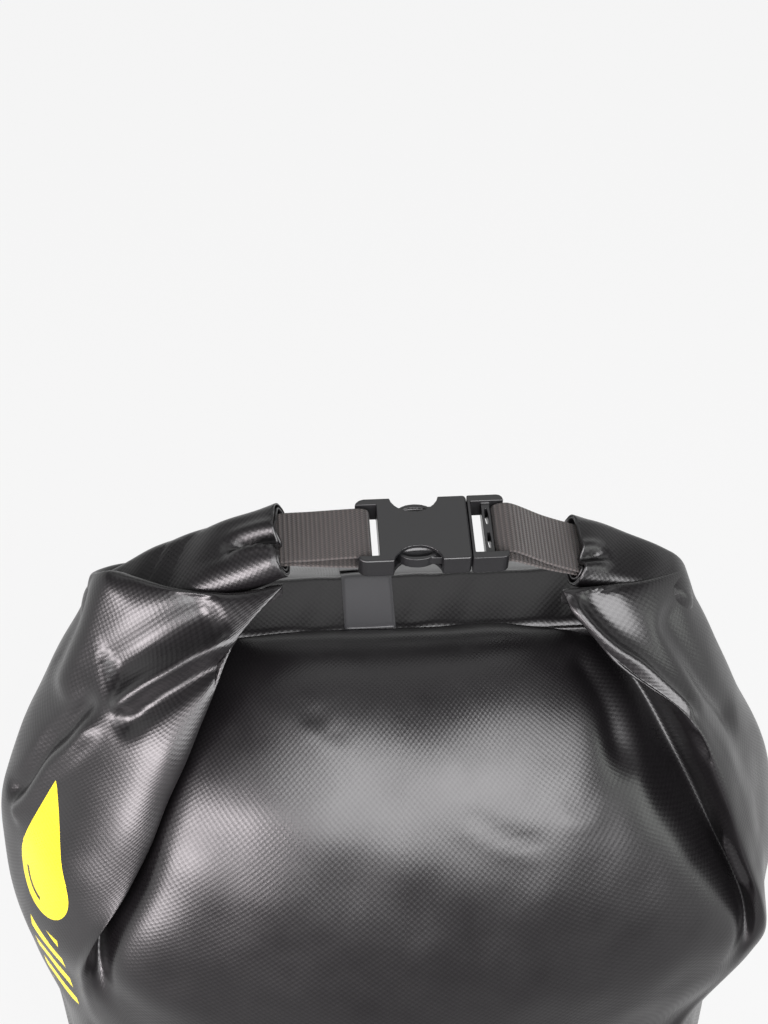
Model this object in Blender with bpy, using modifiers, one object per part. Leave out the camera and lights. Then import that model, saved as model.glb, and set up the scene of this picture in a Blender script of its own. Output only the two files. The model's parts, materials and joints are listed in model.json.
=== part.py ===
"""Roll-top dry bag, closed: the tube's mouth is rolled forward, bent up at both ends
and clipped above itself with a side-release buckle, which makes the carry loop.

Metres, +Z up, X along the roll, -Y the front. The origin is the centre of the base.
"""
import math

import bmesh
import bpy
from mathutils import Matrix, Vector

# ---------------------------------------------------------------- driving sizes
GAP = 0.0003                 # clearance between pieces that touch

FLAT_WIDTH = 0.430           # width of the bag's tube laid flat
FABRIC = 0.0015              # thickness of the wall
BODY_TOP = 0.330             # height of the bag's widest section
BODY_HALF_WIDTH = 0.174      # half width of that section
BELLY_Z = 0.200              # height of a lower section that is a little narrower
BELLY_HALF_WIDTH = 0.162
PLEAT_DEPTH = 0.010          # how far the two front pleats stand proud

BASE_THICK = 0.0015
BASE_OVERHANG = 0.0020       # the base disc stands this far outside the wall
WELD_HEIGHT = 0.018          # height of the welded band around the foot of the wall
WELD_THICK = 0.0010

SEAM_X = -0.009              # the vertical seam is a little left of the middle of the back
SEAM_WIDTH = 0.022
SEAM_THICK = 0.0006

ROLL_Z = 0.430               # height of the roll's middle
ROLL_TILT = math.radians(18) # the carry loop leans to the front
ROLL_WIDTH = 0.035
ROLL_THICK = 0.012
ROLL_SHEET = 0.0010          # two flattened layers of fabric in one turn of the roll
ROLL_TURNS = 1.5
LOOP_ARM = 0.105             # this much of each half of the flat width goes into the bend and arm
LOOP_STRAIGHT = FLAT_WIDTH / 2 - LOOP_ARM   # half length of the loop's straight lower run
LOOP_RADIUS = 0.014          # radius of the hairpin bends
LOOP_RISE = math.radians(20) # slope of the two arms that lead back to the buckle
LOOP_SHIFT = 0.0175          # the roll's two ends differ by twice this, so the buckle is off centre
END_GATHER = 0.011           # width taken up by the puckers at each end of the roll

NECK_HALF_WIDTH = LOOP_STRAIGHT + 0.004     # top edge of the wall, just wider than the straight run
NECK_HALF_DEPTH = 0.014
NECK_HEIGHT = 0.007          # fabric left free between the wall and the roll

STIFFENER_WIDTH = 0.022
STIFFENER_THICK = 0.0008
STIFFENER_OFFSET = 0.0022    # from the roll's middle to the middle of each strip
STIFFENER_END = 0.014        # the strips stop this far inside the roll's ends

WEB_WIDTH = 0.025
WEB_THICK = 0.0011
WEB_TAIL = 0.024             # length of webbing inside the roll
WEB_SPREAD = 0.00075         # half distance between its two layers inside the roll
TACK_THREAD = 0.0003         # radius of the tacking thread
TACK_LENGTH = 0.008
TACK_INSET = 0.003           # from the roll's end to the tack

BUCKLE_RISE = 0.052          # from the roll's middle to the buckle's middle
BUCKLE_THICK = 0.0105
BUCKLE_LENGTH = 0.0626
FEMALE_LENGTH = 0.047
SIDE_WALL = 0.0016
PLATE_WALL = 0.0019
LEG = 0.0033                 # width of the legs and rails beside the webbing
WEB_PLAY = 0.0007            # room beside the webbing in its window
WEB_BAR = 0.0040             # length of the female half's webbing bar
BAR_HALF_THICK = 0.0016
FEMALE_WINDOW = 0.0052
SCALLOP_LENGTH = 0.0206
SCALLOP_DEPTH = 0.0076
SCALLOP_X = -0.0063          # middle of the scallops, from the buckle's middle
PAD_LENGTH = 0.0176
PAD_DEPTH = 0.0072
PAD_RECESS = 0.0019          # the pads stop this far inside the buckle's edge
PAD_DISH = (0.0062, 0.0022, 0.0012)  # half sizes of the finger dish in each pad's top
PRONG_ARM = 0.0022
PRONG_PIVOT_X = 0.0120
TONGUE_HALF_WIDTH = 0.0020
MALE_CROSS = 0.0042
MID_BAR = 0.0037
MALE_WINDOW = 0.0045
OUTER_BAR = 0.0031

ROUND_STEPS = 48             # facets around the bag

BUCKLE_WIDTH = WEB_WIDTH + 2 * (WEB_PLAY + LEG)


# ---------------------------------------------------------------- scene helpers
def clear_scene():
    for obj in list(bpy.data.objects):
        bpy.data.objects.remove(obj, do_unlink=True)
    for coll in list(bpy.data.collections):
        bpy.data.collections.remove(coll)


def collection(name):
    coll = bpy.data.collections.new(name)
    bpy.context.scene.collection.children.link(coll)
    return coll


def material(name, color, roughness, metallic=0.0):
    mat = bpy.data.materials.new(name)
    mat.use_nodes = True
    shader = mat.node_tree.nodes["Principled BSDF"]
    shader.inputs["Base Color"].default_value = (*color, 1.0)
    shader.inputs["Roughness"].default_value = roughness
    shader.inputs["Metallic"].default_value = metallic
    mat.diffuse_color = (*color, 1.0)
    return mat


def add_object(name, mesh, coll, mat=None, place=None):
    obj = bpy.data.objects.new(name, mesh)
    coll.objects.link(obj)
    if mat:
        mesh.materials.append(mat)
    if place is not None:
        obj.matrix_world = place
    return obj


def add_solidify(obj, thickness, offset):
    mod = obj.modifiers.new("thickness", "SOLIDIFY")
    mod.thickness = thickness
    mod.offset = offset
    mod.use_even_offset = True
    mod.use_rim = True
    return mod


def add_bevel(obj, width, segments=2, angle=30):
    mod = obj.modifiers.new("rounded edges", "BEVEL")
    mod.width = width
    mod.segments = segments
    mod.limit_method = "ANGLE"
    mod.angle_limit = math.radians(angle)
    return mod


def add_boolean(obj, other, operation):
    mod = obj.modifiers.new(operation.lower(), "BOOLEAN")
    mod.operation = operation
    mod.solver = "EXACT"
    mod.object = other
    return mod


def hide_cutter(obj):
    obj.hide_render = True
    obj.display_type = "WIRE"
    return obj


def grid_mesh(name, rows, closed=False):
    """A sheet through rows of points; closed joins the last point of a row to its first."""
    count = len(rows[0])
    verts = [tuple(p) for row in rows for p in row]
    span = count if closed else count - 1
    faces = []
    for j in range(len(rows) - 1):
        for i in range(span):
            k = (i + 1) % count
            faces.append((j * count + i, j * count + k, (j + 1) * count + k, (j + 1) * count + i))
    mesh = bpy.data.meshes.new(name)
    mesh.from_pydata(verts, [], faces)
    mesh.update()
    mesh.shade_smooth()
    return mesh


def box_mesh(name, low, high):
    bm = bmesh.new()
    bmesh.ops.create_cube(bm, size=1.0)
    size = Vector(high) - Vector(low)
    middle = (Vector(high) + Vector(low)) / 2
    bmesh.ops.scale(bm, vec=size, verts=bm.verts)
    bmesh.ops.translate(bm, vec=middle, verts=bm.verts)
    mesh = bpy.data.meshes.new(name)
    bm.to_mesh(mesh)
    bm.free()
    return mesh


def prism_mesh(name, outline, low, high):
    """A flat outline, counter-clockwise seen from +Z, pulled up from low to high."""
    bm = bmesh.new()
    face = bm.faces.new([bm.verts.new((x, y, low)) for x, y in outline])
    top = bmesh.ops.extrude_face_region(bm, geom=[face])
    moved = [v for v in top["geom"] if isinstance(v, bmesh.types.BMVert)]
    bmesh.ops.translate(bm, vec=(0, 0, high - low), verts=moved)
    bmesh.ops.recalc_face_normals(bm, faces=bm.faces)
    mesh = bpy.data.meshes.new(name)
    bm.to_mesh(mesh)
    bm.free()
    return mesh


# ---------------------------------------------------------------- the bag's body
def ellipse_perimeter(a, b):
    h = ((a - b) / (a + b)) ** 2
    return math.pi * (a + b) * (1 + 3 * h / (10 + math.sqrt(4 - 3 * h)))


def half_depth(half_width):
    """Depth of the oval that the tube takes when it is this wide: the cloth doesn't stretch."""
    low, high = 0.0, half_width
    for _ in range(50):
        mid = (low + high) / 2
        if ellipse_perimeter(half_width, mid) < 2 * FLAT_WIDTH:
            low = mid
        else:
            high = mid
    return low


BASE_RADIUS = FLAT_WIDTH / math.pi
WALL_FOOT = BASE_THICK + GAP
NECK_Z = ROLL_Z - ROLL_THICK / 2 / math.cos(ROLL_TILT) - GAP - NECK_HEIGHT


def smooth(t):
    return t * t * (3 - 2 * t)


def body_half_width(z):
    if z < BELLY_Z:
        return BASE_RADIUS + (BELLY_HALF_WIDTH - BASE_RADIUS) * smooth(z / BELLY_Z)
    share = (z - BELLY_Z) / (BODY_TOP - BELLY_Z)
    return BELLY_HALF_WIDTH + (BODY_HALF_WIDTH - BELLY_HALF_WIDTH) * math.sin(share * math.pi / 2)


def neck_rise(x):
    """How far the hairpin bends lift the underside of the roll at this distance from the middle."""
    past = max(0.0, abs(x) - LOOP_STRAIGHT)
    radius = LOOP_RADIUS + ROLL_THICK / 2 + NECK_HEIGHT
    return radius - math.sqrt(radius * radius - min(past, radius * 0.95) ** 2)


def neck_point(angle, drop=0.0):
    """The wall's top edge: a long slot that follows the underside of the roll."""
    flat = 0.35
    c, s = math.cos(angle), math.sin(angle)
    x = NECK_HALF_WIDTH * math.copysign(abs(c) ** 0.9, c)
    y = NECK_HALF_DEPTH * math.copysign(abs(s) ** flat, s)
    return Vector((x, y, NECK_Z + neck_rise(x) + y * math.tan(ROLL_TILT) - drop))


def pleat(angle, z):
    """Two ridges run down the front from under the roll's ends, where the spare width folds."""
    lift = 0.0
    for side in (-1, 1):
        centre = -math.pi / 2 + side * (0.50 + 1.10 * (BODY_TOP + 0.06 - z))
        gap = abs((angle - centre + math.pi) % (2 * math.pi) - math.pi)
        fade = smooth(min(1.0, max(0.0, (z - 0.20) / 0.09)))
        lift += PLEAT_DEPTH * fade * math.exp(-(gap / 0.16) ** 2)
    return lift


def wall_point(angle, z, out=0.0):
    """A point on the outside of the wall; above BODY_TOP z runs on as a share of the shoulder."""
    a = body_half_width(min(z, BODY_TOP))
    b = half_depth(a)
    c, s = math.cos(angle), math.sin(angle)
    normal = Vector((c / a, s / b, 0)).normalized()
    lift = pleat(angle, z) + out
    side = Vector((a * c, b * s, min(z, BODY_TOP))) + normal * lift
    if z <= BODY_TOP:
        return side
    share = (z - BODY_TOP) / (NECK_Z - BODY_TOP)
    top = neck_point(angle)
    turn = share * math.pi / 2
    across = (1 - math.cos(turn)) ** 0.85
    flat = side.lerp(top, across)
    flat.z = BODY_TOP + (top.z - BODY_TOP) * math.sin(turn)
    flat += Vector((0, 0, 1)) * out * math.sin(turn)
    return flat


def wall_heights():
    lower = [WALL_FOOT, 0.030, 0.070, 0.115, 0.160, 0.205, 0.245, 0.280, 0.308]
    upper = [BODY_TOP + (NECK_Z - BODY_TOP) * k / 7 for k in range(8)]
    return lower + upper


def ring_angles():
    return [2 * math.pi * k / ROUND_STEPS for k in range(ROUND_STEPS)]


def make_wall(coll, mat):
    rows = [[wall_point(angle, z) for angle in ring_angles()] for z in wall_heights()]
    obj = add_object("bag_wall", grid_mesh("bag_wall", rows, closed=True), coll, mat)
    add_solidify(obj, FABRIC, -1)


def make_base(coll, mat_panel, mat_band):
    radius = BASE_RADIUS + BASE_OVERHANG
    bm = bmesh.new()
    bmesh.ops.create_cone(bm, cap_ends=True, segments=ROUND_STEPS, radius1=radius, radius2=radius,
                          depth=BASE_THICK)
    bmesh.ops.translate(bm, vec=(0, 0, BASE_THICK / 2), verts=bm.verts)
    mesh = bpy.data.meshes.new("base_panel")
    bm.to_mesh(mesh)
    bm.free()
    add_object("base_panel", mesh, coll, mat_panel)
    heights = [WALL_FOOT, WALL_FOOT + WELD_HEIGHT / 2, WALL_FOOT + WELD_HEIGHT]
    rows = [[wall_point(angle, z, GAP) for angle in ring_angles()] for z in heights]
    band = add_object("base_weld_band", grid_mesh("base_weld_band", rows, closed=True), coll, mat_band)
    add_solidify(band, WELD_THICK, 1)


def back_angle(x, z):
    """The angle on the back of the wall where its surface is this far across."""
    low, high = 0.0, math.pi
    for _ in range(40):
        mid = (low + high) / 2
        if wall_point(mid, z).x > x:
            low = mid
        else:
            high = mid
    return low


def make_back_tape(coll, mat):
    foot = WALL_FOOT + WELD_HEIGHT + 0.004
    heights = [foot] + [z for z in wall_heights()[:-1] if z > foot]
    facet_sag = BASE_RADIUS * (1 - math.cos(math.pi / ROUND_STEPS))
    rows = []
    for z in heights:
        row = []
        for k in range(4):
            x = SEAM_X + SEAM_WIDTH * (0.5 - k / 3)
            on = wall_point(back_angle(x, z), z)
            beside = wall_point(back_angle(x + 0.004, z), z)
            above = wall_point(back_angle(x, z + 0.002), z + 0.002)
            normal = (beside - on).cross(above - on).normalized()
            if normal.y + normal.z < 0:
                normal.negate()
            row.append(on + normal * (GAP + 3 * facet_sag))
        rows.append(row)
    obj = add_object("back_seam_tape", grid_mesh("back_seam_tape", rows), coll, mat)
    add_solidify(obj, SEAM_THICK, 1)


def make_neck(coll, mat):
    rows = [[neck_point(angle, -GAP - (NECK_HEIGHT - 2 * GAP) * k / 2) for angle in ring_angles()]
            for k in range(3)]
    obj = add_object("neck_fold", grid_mesh("neck_fold", rows, closed=True), coll, mat)
    add_solidify(obj, FABRIC, -1)


# ---------------------------------------------------------------- the rolled collar and loop
LOOP_UP = Vector((0, -math.sin(ROLL_TILT), math.cos(ROLL_TILT)))
LOOP_BACK = Vector((0, math.cos(ROLL_TILT), math.sin(ROLL_TILT)))
LOOP_CENTRE = Vector((0, 0, ROLL_Z))
LEFT_END = FLAT_WIDTH / 2 + LOOP_SHIFT - END_GATHER
RIGHT_END = FLAT_WIDTH / 2 - LOOP_SHIFT - END_GATHER
LOOP_TURN = math.pi - LOOP_RISE
BEND_LENGTH = LOOP_TURN * LOOP_RADIUS


def loop_frame(q):
    """Point and inward normal at this length along the loop, in its (across, up) plane."""
    side = math.copysign(1.0, q)
    run = abs(q)
    if run <= LOOP_STRAIGHT:
        return (q, 0.0), (0.0, 1.0)
    turn = min((run - LOOP_STRAIGHT) / LOOP_RADIUS, LOOP_TURN)
    leg = max(0.0, run - LOOP_STRAIGHT - BEND_LENGTH)
    x = LOOP_STRAIGHT + LOOP_RADIUS * math.sin(turn) - leg * math.cos(LOOP_RISE)
    up = LOOP_RADIUS * (1 - math.cos(turn)) + leg * math.sin(LOOP_RISE)
    return (side * x, up), (-side * math.sin(turn), math.cos(turn))


def loop_layer(q, inward):
    """A point in the (across, up) plane, this far inward from the loop's middle line."""
    (x, up), (nx, nu) = loop_frame(q)
    return x + nx * inward, up + nu * inward


def loop_point(q, across, inward):
    """A point of the loop: across is towards the back, inward is towards the loop's middle."""
    x, up = loop_layer(q, inward)
    return LOOP_CENTRE + Vector((x, 0, 0)) + LOOP_UP * up + LOOP_BACK * across


def loop_stations(start, end):
    """Lengths along the loop between start and end, close together in the bends."""
    bend_step = BEND_LENGTH / 9
    marks = [0.0, LOOP_STRAIGHT * 0.5]
    marks += [LOOP_STRAIGHT + bend_step * k for k in range(10)]
    both = sorted({round(s * m, 7) for m in marks for s in (-1, 1)})
    inside = [q for q in both if start + 0.002 < q < end - 0.002]
    return [start] + inside + [end]


def stadium_point(share, half_width, half_thick):
    """A point on a flat oval, share of a turn from the middle of its lower side, going back first."""
    radius = half_thick
    flat = half_width - radius
    total = 4 * flat + 2 * math.pi * radius
    run = (share % 1.0) * total
    if run < flat:
        return run, -half_thick
    run -= flat
    if run < math.pi * radius:
        turn = run / radius
        return flat + radius * math.sin(turn), -radius * math.cos(turn)
    run -= math.pi * radius
    if run < 2 * flat:
        return flat - run, half_thick
    run -= 2 * flat
    if run < math.pi * radius:
        turn = run / radius
        return -flat - radius * math.sin(turn), radius * math.cos(turn)
    return -flat + run - math.pi * radius, -half_thick


def roll_section():
    """The rolled sheet's middle line: each turn lies inside the last."""
    count = 28
    pitch = ROLL_SHEET + GAP
    points = []
    for k in range(count):
        turns = ROLL_TURNS * k / (count - 1)
        inset = pitch * turns + ROLL_SHEET / 2
        points.append(stadium_point(turns, ROLL_WIDTH / 2 - inset, ROLL_THICK / 2 - inset))
    return points


def make_collar(coll, mat):
    rows = [[loop_point(q, w, n) for w, n in roll_section()] for q in loop_stations(-LEFT_END, RIGHT_END)]
    obj = add_object("rolled_collar", grid_mesh("rolled_collar", rows), coll, mat)
    add_solidify(obj, ROLL_SHEET, 0)


def make_roll_tape(coll, mat):
    half_width = ROLL_WIDTH / 2 + GAP
    half_thick = ROLL_THICK / 2 + GAP
    shares = [0.20 + 0.52 * k / 9 for k in range(10)]
    section = [stadium_point(s, half_width, half_thick) for s in shares]
    stations = [SEAM_X - SEAM_WIDTH / 2, SEAM_X, SEAM_X + SEAM_WIDTH / 2]
    rows = [[loop_point(q, w, n) for w, n in section] for q in stations]
    obj = add_object("roll_seam_tape", grid_mesh("roll_seam_tape", rows), coll, mat)
    add_solidify(obj, SEAM_THICK, 1)


def make_stiffener(name, inward, coll, mat):
    half = STIFFENER_WIDTH / 2
    stations = loop_stations(STIFFENER_END - LEFT_END, RIGHT_END - STIFFENER_END)
    rows = [[loop_point(q, -half, inward), loop_point(q, half, inward)] for q in stations]
    obj = add_object(name, grid_mesh(name, rows), coll, mat)
    add_solidify(obj, STIFFENER_THICK, 0)


# ---------------------------------------------------------------- webbing
BUCKLE_X = (loop_frame(-LEFT_END)[0][0] + loop_frame(RIGHT_END)[0][0]) / 2
FEMALE_LEFT = -BUCKLE_LENGTH / 2
FEMALE_RIGHT = FEMALE_LEFT + FEMALE_LENGTH
MALE_RIGHT = BUCKLE_LENGTH / 2


def webbing_line(side):
    """The doubled strap in the loop's (across, up) plane: out of the roll, round the bar and back."""
    run = LEFT_END if side < 0 else RIGHT_END
    end = loop_frame(side * run)[0]
    bar = WEB_BAR if side < 0 else OUTER_BAR
    edge = BUCKLE_X + side * BUCKLE_LENGTH / 2
    radius = BAR_HALF_THICK * math.sqrt(2) + GAP + WEB_THICK / 2
    inner = edge - side * (bar - BAR_HALF_THICK)
    outer = edge + side * 0.002
    tail = [reach * WEB_TAIL for reach in (1.0, 0.75, 0.5, 0.25, 0.0)]
    upper = [loop_layer(side * (run - t), -WEB_SPREAD) for t in tail]
    lower = [loop_layer(side * (run - t), WEB_SPREAD) for t in reversed(tail)]
    share = 0.4
    middle = (end[0] + (outer - end[0]) * share, end[1] + (BUCKLE_RISE - end[1]) * share)
    upper.append((middle[0], middle[1] + WEB_SPREAD + 0.0006))
    lower.insert(0, (middle[0], middle[1] - WEB_SPREAD - 0.0012))
    upper.append((outer, BUCKLE_RISE + radius))
    lower.insert(0, (outer, BUCKLE_RISE - radius))
    turns = [math.pi * k / 8 for k in range(9)]
    wrap = [(inner - side * radius * math.sin(t), BUCKLE_RISE + radius * math.cos(t)) for t in turns]
    return upper + wrap + lower


def make_webbing(name, side, coll, mat):
    half = WEB_WIDTH / 2
    rows = []
    for x, up in webbing_line(side):
        middle = LOOP_CENTRE + Vector((x, 0, 0)) + LOOP_UP * up
        rows.append([middle - LOOP_BACK * half, middle + LOOP_BACK * half])
    obj = add_object(name, grid_mesh(name, rows), coll, mat)
    add_solidify(obj, WEB_THICK, 0)


def make_tack(name, side, coll, mat):
    """A zigzag of tacking thread on the webbing, just inside the roll's end."""
    run = LEFT_END if side < 0 else RIGHT_END
    outward = -WEB_SPREAD - WEB_THICK / 2 - TACK_THREAD - GAP / 3
    count = 12
    curve = bpy.data.curves.new(name, "CURVE")
    curve.dimensions = "3D"
    curve.bevel_depth = TACK_THREAD
    curve.bevel_resolution = 1
    curve.use_fill_caps = True
    spline = curve.splines.new("POLY")
    spline.points.add(count - 1)
    for k in range(count):
        q = side * (run - TACK_INSET - (TACK_LENGTH if k % 2 else 0.0))
        across = WEB_WIDTH * (0.42 - 0.84 * k / (count - 1))
        spline.points[k].co = (*loop_point(q, across, outward), 1.0)
    curve.materials.append(mat)
    obj = bpy.data.objects.new(name, curve)
    coll.objects.link(obj)


# ---------------------------------------------------------------- the buckle
def buckle_place():
    """Buckle axes: X along the strap, Y to the back, Z out of its top plate."""
    rotation = Matrix.Rotation(ROLL_TILT, 4, "X")
    return Matrix.Translation(LOOP_CENTRE + Vector((BUCKLE_X, 0, 0)) + LOOP_UP * BUCKLE_RISE) @ rotation


def rounded_outline(x0, x1, half, radius_left, radius_right):
    """A rectangle with round corners, counter-clockwise."""
    corners = [(x1, half, radius_right, 0), (x0, half, radius_left, 90),
               (x0, -half, radius_left, 180), (x1, -half, radius_right, 270)]
    points = []
    for x, y, radius, start in corners:
        cx = x - math.copysign(radius, x - (x0 + x1) / 2)
        cy = y - math.copysign(radius, y)
        for k in range(4):
            turn = math.radians(start + 30 * k)
            points.append((cx + radius * math.cos(turn), cy + radius * math.sin(turn)))
    return points


def ellipse_outline(cx, cy, rx, ry, count=20):
    turns = [2 * math.pi * (k + 0.5) / count for k in range(count)]
    return [(cx + rx * math.cos(t), cy + ry * math.sin(t)) for t in turns]


def cut(obj, name, mesh, place, cutters):
    cutter = hide_cutter(add_object(name, mesh, cutters, place=place))
    add_boolean(obj, cutter, "DIFFERENCE")
    return cutter


def make_female(coll, cutters, mat):
    place = buckle_place()
    half, thick = BUCKLE_WIDTH / 2, BUCKLE_THICK / 2
    outline = rounded_outline(FEMALE_LEFT, FEMALE_RIGHT, half, 0.0040, 0.0014)
    obj = add_object("buckle_female", prism_mesh("buckle_female", outline, -thick, thick), coll, mat, place)
    add_bevel(obj, 0.0009)
    beyond = 0.002
    web = half - LEG
    window = (FEMALE_LEFT + WEB_BAR, FEMALE_LEFT + WEB_BAR + FEMALE_WINDOW)
    cut(obj, "cut_window", box_mesh("cut_window", (window[0], -web, -thick - beyond),
                                    (window[1], web, thick + beyond)), place, cutters)
    for side in (-1, 1):
        low, high = sorted((side * BAR_HALF_THICK, side * (thick + beyond)))
        cut(obj, "cut_bar", box_mesh("cut_bar", (FEMALE_LEFT - beyond, -web, low),
                                     (window[0] + beyond / 2, web, high)), place, cutters)
        centre = side * (half + 0.001)
        scallop = ellipse_outline(SCALLOP_X, centre, SCALLOP_LENGTH / 2, SCALLOP_DEPTH + 0.001, 24)
        cut(obj, "cut_scallop", prism_mesh("cut_scallop", scallop, -thick - beyond, thick + beyond),
            place, cutters)
    cut(obj, "cut_cavity",
        box_mesh("cut_cavity", (window[1] + 0.0022, -half + SIDE_WALL, -thick + PLATE_WALL),
                 (FEMALE_RIGHT + beyond, half - SIDE_WALL, thick - PLATE_WALL)),
        place, cutters)


def join_mesh(obj, name, mesh, place, cutters):
    add_boolean(obj, hide_cutter(add_object(name, mesh, cutters, place=place)), "UNION")


def make_male(coll, cutters, mat):
    place = buckle_place()
    half, thick = BUCKLE_WIDTH / 2, BUCKLE_THICK / 2
    inner = half - LEG
    start = FEMALE_RIGHT + GAP
    plug = half - SIDE_WALL - GAP
    plug_thick = thick - PLATE_WALL - GAP
    outline = rounded_outline(start, MALE_RIGHT, half, 0.0006, 0.0028)
    obj = add_object("buckle_male_frame",
                     prism_mesh("buckle_male_frame", outline, -thick * 0.95, thick * 0.95),
                     coll, mat, place)
    add_bevel(obj, 0.0008)
    mid = MALE_RIGHT - OUTER_BAR - 0.0027 - MID_BAR
    window_low = mid - MALE_WINDOW
    beyond = 0.002
    cut(obj, "cut_male_window", box_mesh("cut_male_window", (window_low, -inner, -thick - beyond),
                                         (mid, inner, thick + beyond)), place, cutters)
    cut(obj, "cut_male_slot", box_mesh("cut_male_slot", (mid + MID_BAR, -inner, -thick - beyond),
                                       (MALE_RIGHT - OUTER_BAR, inner, thick + beyond)), place, cutters)
    for side in (-1, 1):
        low, high = sorted((side * BAR_HALF_THICK, side * (thick + beyond)))
        cut(obj, "cut_male_bar", box_mesh("cut_male_bar", (MALE_RIGHT - OUTER_BAR - beyond / 2, -inner, low),
                                          (MALE_RIGHT + beyond, inner, high)), place, cutters)
        low, high = sorted((side * 0.0034, side * (thick + beyond)))
        cut(obj, "cut_mid_bar", box_mesh("cut_mid_bar", (mid - beyond / 2, -inner, low),
                                         (mid + MID_BAR + beyond / 2, inner, high)), place, cutters)
        lens = ellipse_outline(mid + MID_BAR / 2, side * 0.0062, 0.0007, 0.0044, 12)
        cut(obj, "cut_lens", prism_mesh("cut_lens", lens, -thick - beyond, thick + beyond), place, cutters)
    cross = (start + 0.0008 - MALE_CROSS, start + 0.0010)
    join_mesh(obj, "plug", box_mesh("plug", (cross[0], -plug, -plug_thick), (cross[1], plug, plug_thick)),
              place, cutters)
    tongue = (-0.015, cross[0] + 0.001)
    join_mesh(obj, "tongue", box_mesh("tongue", (tongue[0], -TONGUE_HALF_WIDTH, -plug_thick * 0.6),
                                      (tongue[1], TONGUE_HALF_WIDTH, plug_thick * 0.6)), place, cutters)


def pad_outline(side):
    """Half an oval: its round side faces out through the scallop."""
    outer = BUCKLE_WIDTH / 2 - PAD_RECESS
    points = []
    count = 14
    for k in range(count + 1):
        turn = math.pi * k / count
        x = SCALLOP_X + PAD_LENGTH / 2 * math.cos(turn)
        y = outer - PAD_DEPTH + PAD_DEPTH * math.sin(turn) ** 0.8
        points.append((x, side * y))
    return points if side > 0 else points[::-1]


def make_prong(name, side, coll, cutters, mat):
    """A flexing arm with an arched pad; its origin is where the arm springs from the male half."""
    thick = BUCKLE_THICK / 2 - PLATE_WALL - 2 * GAP
    arm_outer = BUCKLE_WIDTH / 2 - SIDE_WALL - 2 * GAP - 0.0008
    pivot = Vector((PRONG_PIVOT_X - GAP, side * (arm_outer - PRONG_ARM / 2), 0))
    place = buckle_place() @ Matrix.Translation(pivot)
    outline = [(x - pivot.x, y - pivot.y) for x, y in pad_outline(side)]
    obj = add_object(name, prism_mesh(name, outline, -thick, thick), coll, mat, place)
    low = (SCALLOP_X, side * (arm_outer - PRONG_ARM) if side > 0 else side * arm_outer, -thick * 0.8)
    high = (PRONG_PIVOT_X - GAP, low[1] + PRONG_ARM, thick * 0.8)
    arm = box_mesh("arm", Vector(low) - pivot, Vector(high) - pivot)
    join_mesh(obj, name + "_arm", arm, place, cutters)
    bm = bmesh.new()
    bmesh.ops.create_uvsphere(bm, u_segments=20, v_segments=10, radius=1.0)
    bmesh.ops.scale(bm, vec=PAD_DISH, verts=bm.verts)
    middle = Vector((SCALLOP_X, side * (BUCKLE_WIDTH / 2 - PAD_RECESS - PAD_DEPTH * 0.55), thick)) - pivot
    bmesh.ops.translate(bm, vec=middle, verts=bm.verts)
    dish = bpy.data.meshes.new(name + "_dish")
    bm.to_mesh(dish)
    bm.free()
    cut(obj, name + "_dish", dish, place, cutters)


def main():
    clear_scene()
    coll = collection("dry_bag")
    cutters = collection("cutters")
    fabric = material("black coated fabric", (0.018, 0.017, 0.018), 0.38)
    tape = material("grey seam tape", (0.085, 0.085, 0.090), 0.45)
    stiff = material("stiffener", (0.05, 0.05, 0.05), 0.5)
    web = material("webbing", (0.036, 0.031, 0.029), 0.75)
    thread = material("thread", (0.02, 0.02, 0.02), 0.7)
    plastic = material("black plastic", (0.012, 0.012, 0.013), 0.32)

    make_wall(coll, fabric)
    make_base(coll, fabric, fabric)
    make_back_tape(coll, tape)
    make_neck(coll, fabric)
    make_collar(coll, fabric)
    make_roll_tape(coll, tape)
    make_stiffener("front_stiffener", STIFFENER_OFFSET, coll, stiff)
    make_stiffener("rear_stiffener", -STIFFENER_OFFSET, coll, stiff)
    make_webbing("webbing_left", -1, coll, web)
    make_webbing("webbing_right", 1, coll, web)
    make_tack("tack_left", -1, coll, thread)
    make_tack("tack_right", 1, coll, thread)
    make_female(coll, cutters, plastic)
    make_male(coll, cutters, plastic)
    make_prong("prong_front", -1, coll, cutters, plastic)
    make_prong("prong_rear", 1, coll, cutters, plastic)


main()
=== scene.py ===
"""The look of the roll-top dry bag: fabric, webbing, buckle, materials, light and camera."""
import json
import math

import bpy
import numpy as np
from mathutils import Matrix, Vector


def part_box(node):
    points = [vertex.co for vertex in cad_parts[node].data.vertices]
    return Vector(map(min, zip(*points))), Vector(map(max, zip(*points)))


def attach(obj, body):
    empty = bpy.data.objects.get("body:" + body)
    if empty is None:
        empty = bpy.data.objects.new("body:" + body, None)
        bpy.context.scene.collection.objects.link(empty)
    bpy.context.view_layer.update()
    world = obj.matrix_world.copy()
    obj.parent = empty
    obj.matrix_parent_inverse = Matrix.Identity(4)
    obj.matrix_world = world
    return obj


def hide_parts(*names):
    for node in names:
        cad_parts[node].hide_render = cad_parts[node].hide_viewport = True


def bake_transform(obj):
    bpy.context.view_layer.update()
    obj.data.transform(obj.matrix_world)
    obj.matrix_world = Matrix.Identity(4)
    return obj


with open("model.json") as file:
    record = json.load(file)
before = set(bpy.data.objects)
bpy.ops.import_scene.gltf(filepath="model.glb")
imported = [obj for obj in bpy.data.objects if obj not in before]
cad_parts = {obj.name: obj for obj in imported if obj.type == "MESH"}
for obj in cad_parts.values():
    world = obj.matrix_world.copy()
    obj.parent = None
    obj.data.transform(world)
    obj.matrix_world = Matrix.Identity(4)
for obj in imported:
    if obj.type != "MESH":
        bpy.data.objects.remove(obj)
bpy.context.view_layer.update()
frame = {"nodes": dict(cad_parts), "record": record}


# ---------------------------------------------------------------- places read from the frame
def node_box(name):
    low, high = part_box(name)
    return np.array(low), np.array(high)


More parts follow.
